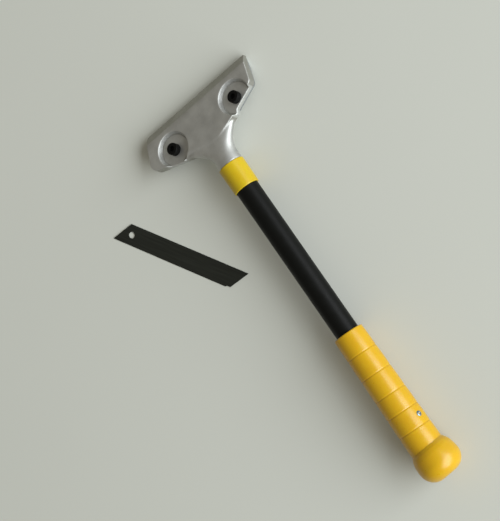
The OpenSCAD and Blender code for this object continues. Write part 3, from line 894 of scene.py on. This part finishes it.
class SCRAPER_OT_handle(bpy.types.Operator):
    """Makes the coated tube and the collar over its joint with the neck"""

    bl_idname = "scraper.handle"
    bl_label = "Tube and collar"

    def execute(self, context):
        settings = context.scene.scraper.handle
        low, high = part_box("tube")
        outer = settings.tube_diameter / 2
        inner, run = outer - settings.tube_wall, high.y - low.y
        points = rounded_profile(
            [(inner, 0, BROKEN), (outer, 0, BROKEN), (outer, run, BROKEN), (inner, run, BROKEN)]
        )
        tube = turned("coated_tube", points + points[:1], on_axis(high.y), powder_coat(settings))
        stand_for(tube, "handle_and_head", "tube")
        low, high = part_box("collar")
        bore, run, edge = outer + CLEARANCE, high.y - low.y, settings.collar_edge
        front, tail = settings.collar_diameter / 2, settings.collar_tail / 2
        points = rounded_profile(
            [(bore, 0, SHARP), (front, 0, edge), (tail, run, edge), (bore, run, SHARP)]
        )
        plastic, grime = tuple(settings.plastic), tuple(context.scene.scraper.grip.grime)
        lemon = moulded_plastic("moulded_lemon_plastic", plastic, grime)
        collar = turned("moulded_collar", points + points[:1], on_axis(high.y), lemon)
        stand_for(collar, "handle_and_head", "collar")
        return {"FINISHED"}


class SCRAPER_OT_grip(bpy.types.Operator):
    """Makes the ribbed grip, the rivet through it and the knob on its end"""

    bl_idname = "scraper.grip"
    bl_label = "Grip, rivet and knob"

    def execute(self, context):
        scraper = context.scene.scraper
        settings = scraper.grip
        plastic, grime = tuple(settings.plastic), tuple(settings.grime)
        yellow = moulded_plastic("moulded_yellow_plastic", plastic, grime)
        low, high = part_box("grip")
        long_part = settings.long_ring * settings.long_rings
        ribbed = long_part + settings.short_ring * settings.short_rings
        sizes = {
            "Rows": GRIP_ROWS, "Segments": GRIP_COLUMNS,
            "Front Radius": settings.front_diameter / 2, "Back Radius": settings.back_diameter / 2,
            "Bore Radius": scraper.handle.tube_diameter / 2 + CLEARANCE,
            "Long Ring": settings.long_ring, "Long Rings": settings.long_rings,
            "Short Ring": settings.short_ring, "Short Rings": settings.short_rings,
            "Tail": high.y - low.y - ribbed, "Groove Width": settings.groove_width,
            "Groove Depth": settings.groove_depth, "Crown": settings.crown, "Edge": settings.edge,
            "Material": yellow,
        }
        blank = bpy.data.meshes.new("ribbed_grip")
        grip = made_by("ribbed_grip", blank, ribbed_sleeve(), sizes, on_axis(high.y))
        stand_for(grip, "handle_and_head", "grip")
        self.make_rivet(settings)
        self.make_knob(scraper.knob, settings, yellow, high.y - ribbed)
        return {"FINISHED"}

    def make_rivet(self, settings):
        """A flat dome, hollow in the middle where the rivet was set, on a shank in the grip."""
        low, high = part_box("grip_rivet")
        head = settings.rivet_diameter / 2
        # Height of the dome, and radii of the hollow and the shank
        dome, hollow, shank = head * 0.4, head * 0.34, head * 0.7
        turns = [pi / 2 * k / DOME_STEPS for k in range(DOME_STEPS + 1)]
        rim = [(head * cos(turn), dome * sin(turn)) for turn in turns if head * cos(turn) > hollow]
        profile = [
            (0, -HIDDEN), (shank, -HIDDEN), (shank, 0), *rim,
            (hollow, dome * 0.7), (hollow * 0.8, dome * 0.1), (0, 0),
        ]
        place = Matrix.Translation((0, (low.y + high.y) / 2, axis_height()))
        place = place @ Matrix.Rotation(settings.rivet_turn, 4, "Y")
        # The dome ends as far out as the frame's rivet does
        inverse = place.inverted()
        top = max((inverse @ v.co).z for v in frame["nodes"]["grip_rivet"].data.vertices)
        place = place @ Matrix.Translation((0, 0, top - dome))
        rivet = turned("domed_rivet", profile, place, rivet_steel(), Segments=RIVET_COLUMNS)
        stand_for(rivet, "handle_and_head", "grip_rivet")

    def make_knob(self, settings, grip, plastic, y):
        """A cap over the grip's end: a lip, a short slope, a swell and a round back corner."""
        mouth = grip.back_diameter / 2 - grip.crown
        front, widest = settings.front_diameter / 2, settings.diameter / 2
        turns = [pi / 2 * k / KNOB_STEPS for k in range(KNOB_STEPS + 1)]
        outside = [
            (front + (widest - front) * sin(turn), settings.swell * k / KNOB_STEPS)
            for k, turn in enumerate(turns)
        ]
        outside += [
            (
                widest - settings.corner * (1 - cos(turn)),
                settings.size - settings.corner * (1 - sin(turn)),
            )
            for turn in turns[1:]
        ]
        # The slope's edge is rounded over the first part of the swell
        after = [point for point in outside if point[1] > 2 * settings.slope]
        lip = rounded_profile([
            (mouth, 0, 0), (mouth + settings.lip, 0, settings.lip / 3),
            (front, settings.slope, settings.edge), (*after[0], 0),
        ])
        profile = [(0, HIDDEN), (mouth, HIDDEN), *lip, *after[1:], (0, settings.size)]
        knob = turned("end_knob_shell", profile, on_axis(y, settings.lean), plastic)
        stand_for(knob, "handle_and_head", "end_knob")


class SCRAPER_OT_blade(bpy.types.Operator):
    """Finishes the loose blade"""

    bl_idname = "scraper.blade"
    bl_label = "Loose blade"

    def execute(self, context):
        low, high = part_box("scraper_blade")
        mesh = frame["nodes"]["scraper_blade"].data
        mesh.materials.clear()
        mesh.materials.append(blackened_steel(context.scene.scraper.blade, (low + high) / 2))
        return {"FINISHED"}


class SCRAPER_OT_stage(bpy.types.Operator):
    """Lays the table top and sets the lights and the camera"""

    bl_idname = "scraper.stage"
    bl_label = "Stage"

    def execute(self, context):
        settings = context.scene.scraper.stage
        half = settings.floor_size / 2
        mesh = bpy.data.meshes.new("table_top")
        corners = [(-half, -half, 0), (half, -half, 0), (half, half, 0), (-half, half, 0)]
        mesh.from_pydata(corners, [], [(0, 1, 2, 3)])
        mesh.materials.append(table_top(settings))
        floor = bpy.data.objects.new("table_top", mesh)
        context.scene.collection.objects.link(floor)

        turn, rise = settings.window_turn, settings.window_rise
        towards = Vector((cos(turn) * cos(rise), sin(turn) * cos(rise), sin(rise)))
        light = bpy.data.lights.new("window_light", "AREA")
        light.energy, light.color = settings.window_power, settings.window_colour[:3]
        light.shape = "RECTANGLE"
        light.size, light.size_y = settings.window_width, settings.window_height
        lamp = bpy.data.objects.new("window_light", light)
        lamp.location = Vector(settings.middle) + towards * settings.window_distance
        lamp.rotation_euler = (-towards).to_track_quat("-Z", "Y").to_euler()
        context.scene.collection.objects.link(lamp)

        world = bpy.data.worlds.new("room")
        world.use_nodes = True
        backdrop = world.node_tree.nodes["Background"]
        backdrop.inputs["Color"].default_value = settings.room_colour
        backdrop.inputs["Strength"].default_value = settings.room
        context.scene.world = world

        lens = bpy.data.cameras.new("camera")
        lens.sensor_fit, lens.sensor_width, lens.lens = "AUTO", SENSOR, settings.lens
        lens.clip_start, lens.clip_end = NEAREST, FARTHEST
        camera = bpy.data.objects.new("camera", lens)
        camera.location, camera.rotation_euler = settings.eye, Euler(settings.aim)
        context.scene.collection.objects.link(camera)
        context.scene.camera = camera
        context.scene.view_settings.view_transform = "Standard"
        return {"FINISHED"}


STEPS = (
    SCRAPER_OT_stage, SCRAPER_OT_head, SCRAPER_OT_clamp, SCRAPER_OT_screws,
    SCRAPER_OT_handle, SCRAPER_OT_grip, SCRAPER_OT_blade,
)


class SCRAPER_PT_panel(bpy.types.Panel):
    """Lists the pieces and their sizes"""

    bl_idname = "SCRAPER_PT_panel"
    bl_label = "Blade scraper"
    bl_space_type = "VIEW_3D"
    bl_region_type = "UI"
    bl_category = "Scraper"

    def draw(self, context):
        for step in STEPS:
            self.layout.operator(step.bl_idname)
        for group in ("head", "screws", "handle", "grip", "knob", "blade", "stage"):
            box = self.layout.box()
            box.label(text=group.capitalize())
            settings = getattr(context.scene.scraper, group)
            for name in settings.__annotations__:
                box.prop(settings, name)


CLASSES = (
    ScraperHead, ScraperScrews, ScraperHandle, ScraperGrip, ScraperKnob, ScraperBlade, ScraperStage,
    ScraperSettings, *STEPS, SCRAPER_PT_panel,
)


def register():
    for item in CLASSES:
        bpy.utils.register_class(item)
    bpy.types.Scene.scraper = PointerProperty(type=ScraperSettings)


def unregister():
    del bpy.types.Scene.scraper
    for item in reversed(CLASSES):
        bpy.utils.unregister_class(item)


def main():
    """Makes every piece in order."""
    register()
    for step in STEPS:
        group, name = step.bl_idname.split(".")
        getattr(getattr(bpy.ops, group), name)()


if __name__ == "__main__":
    main()
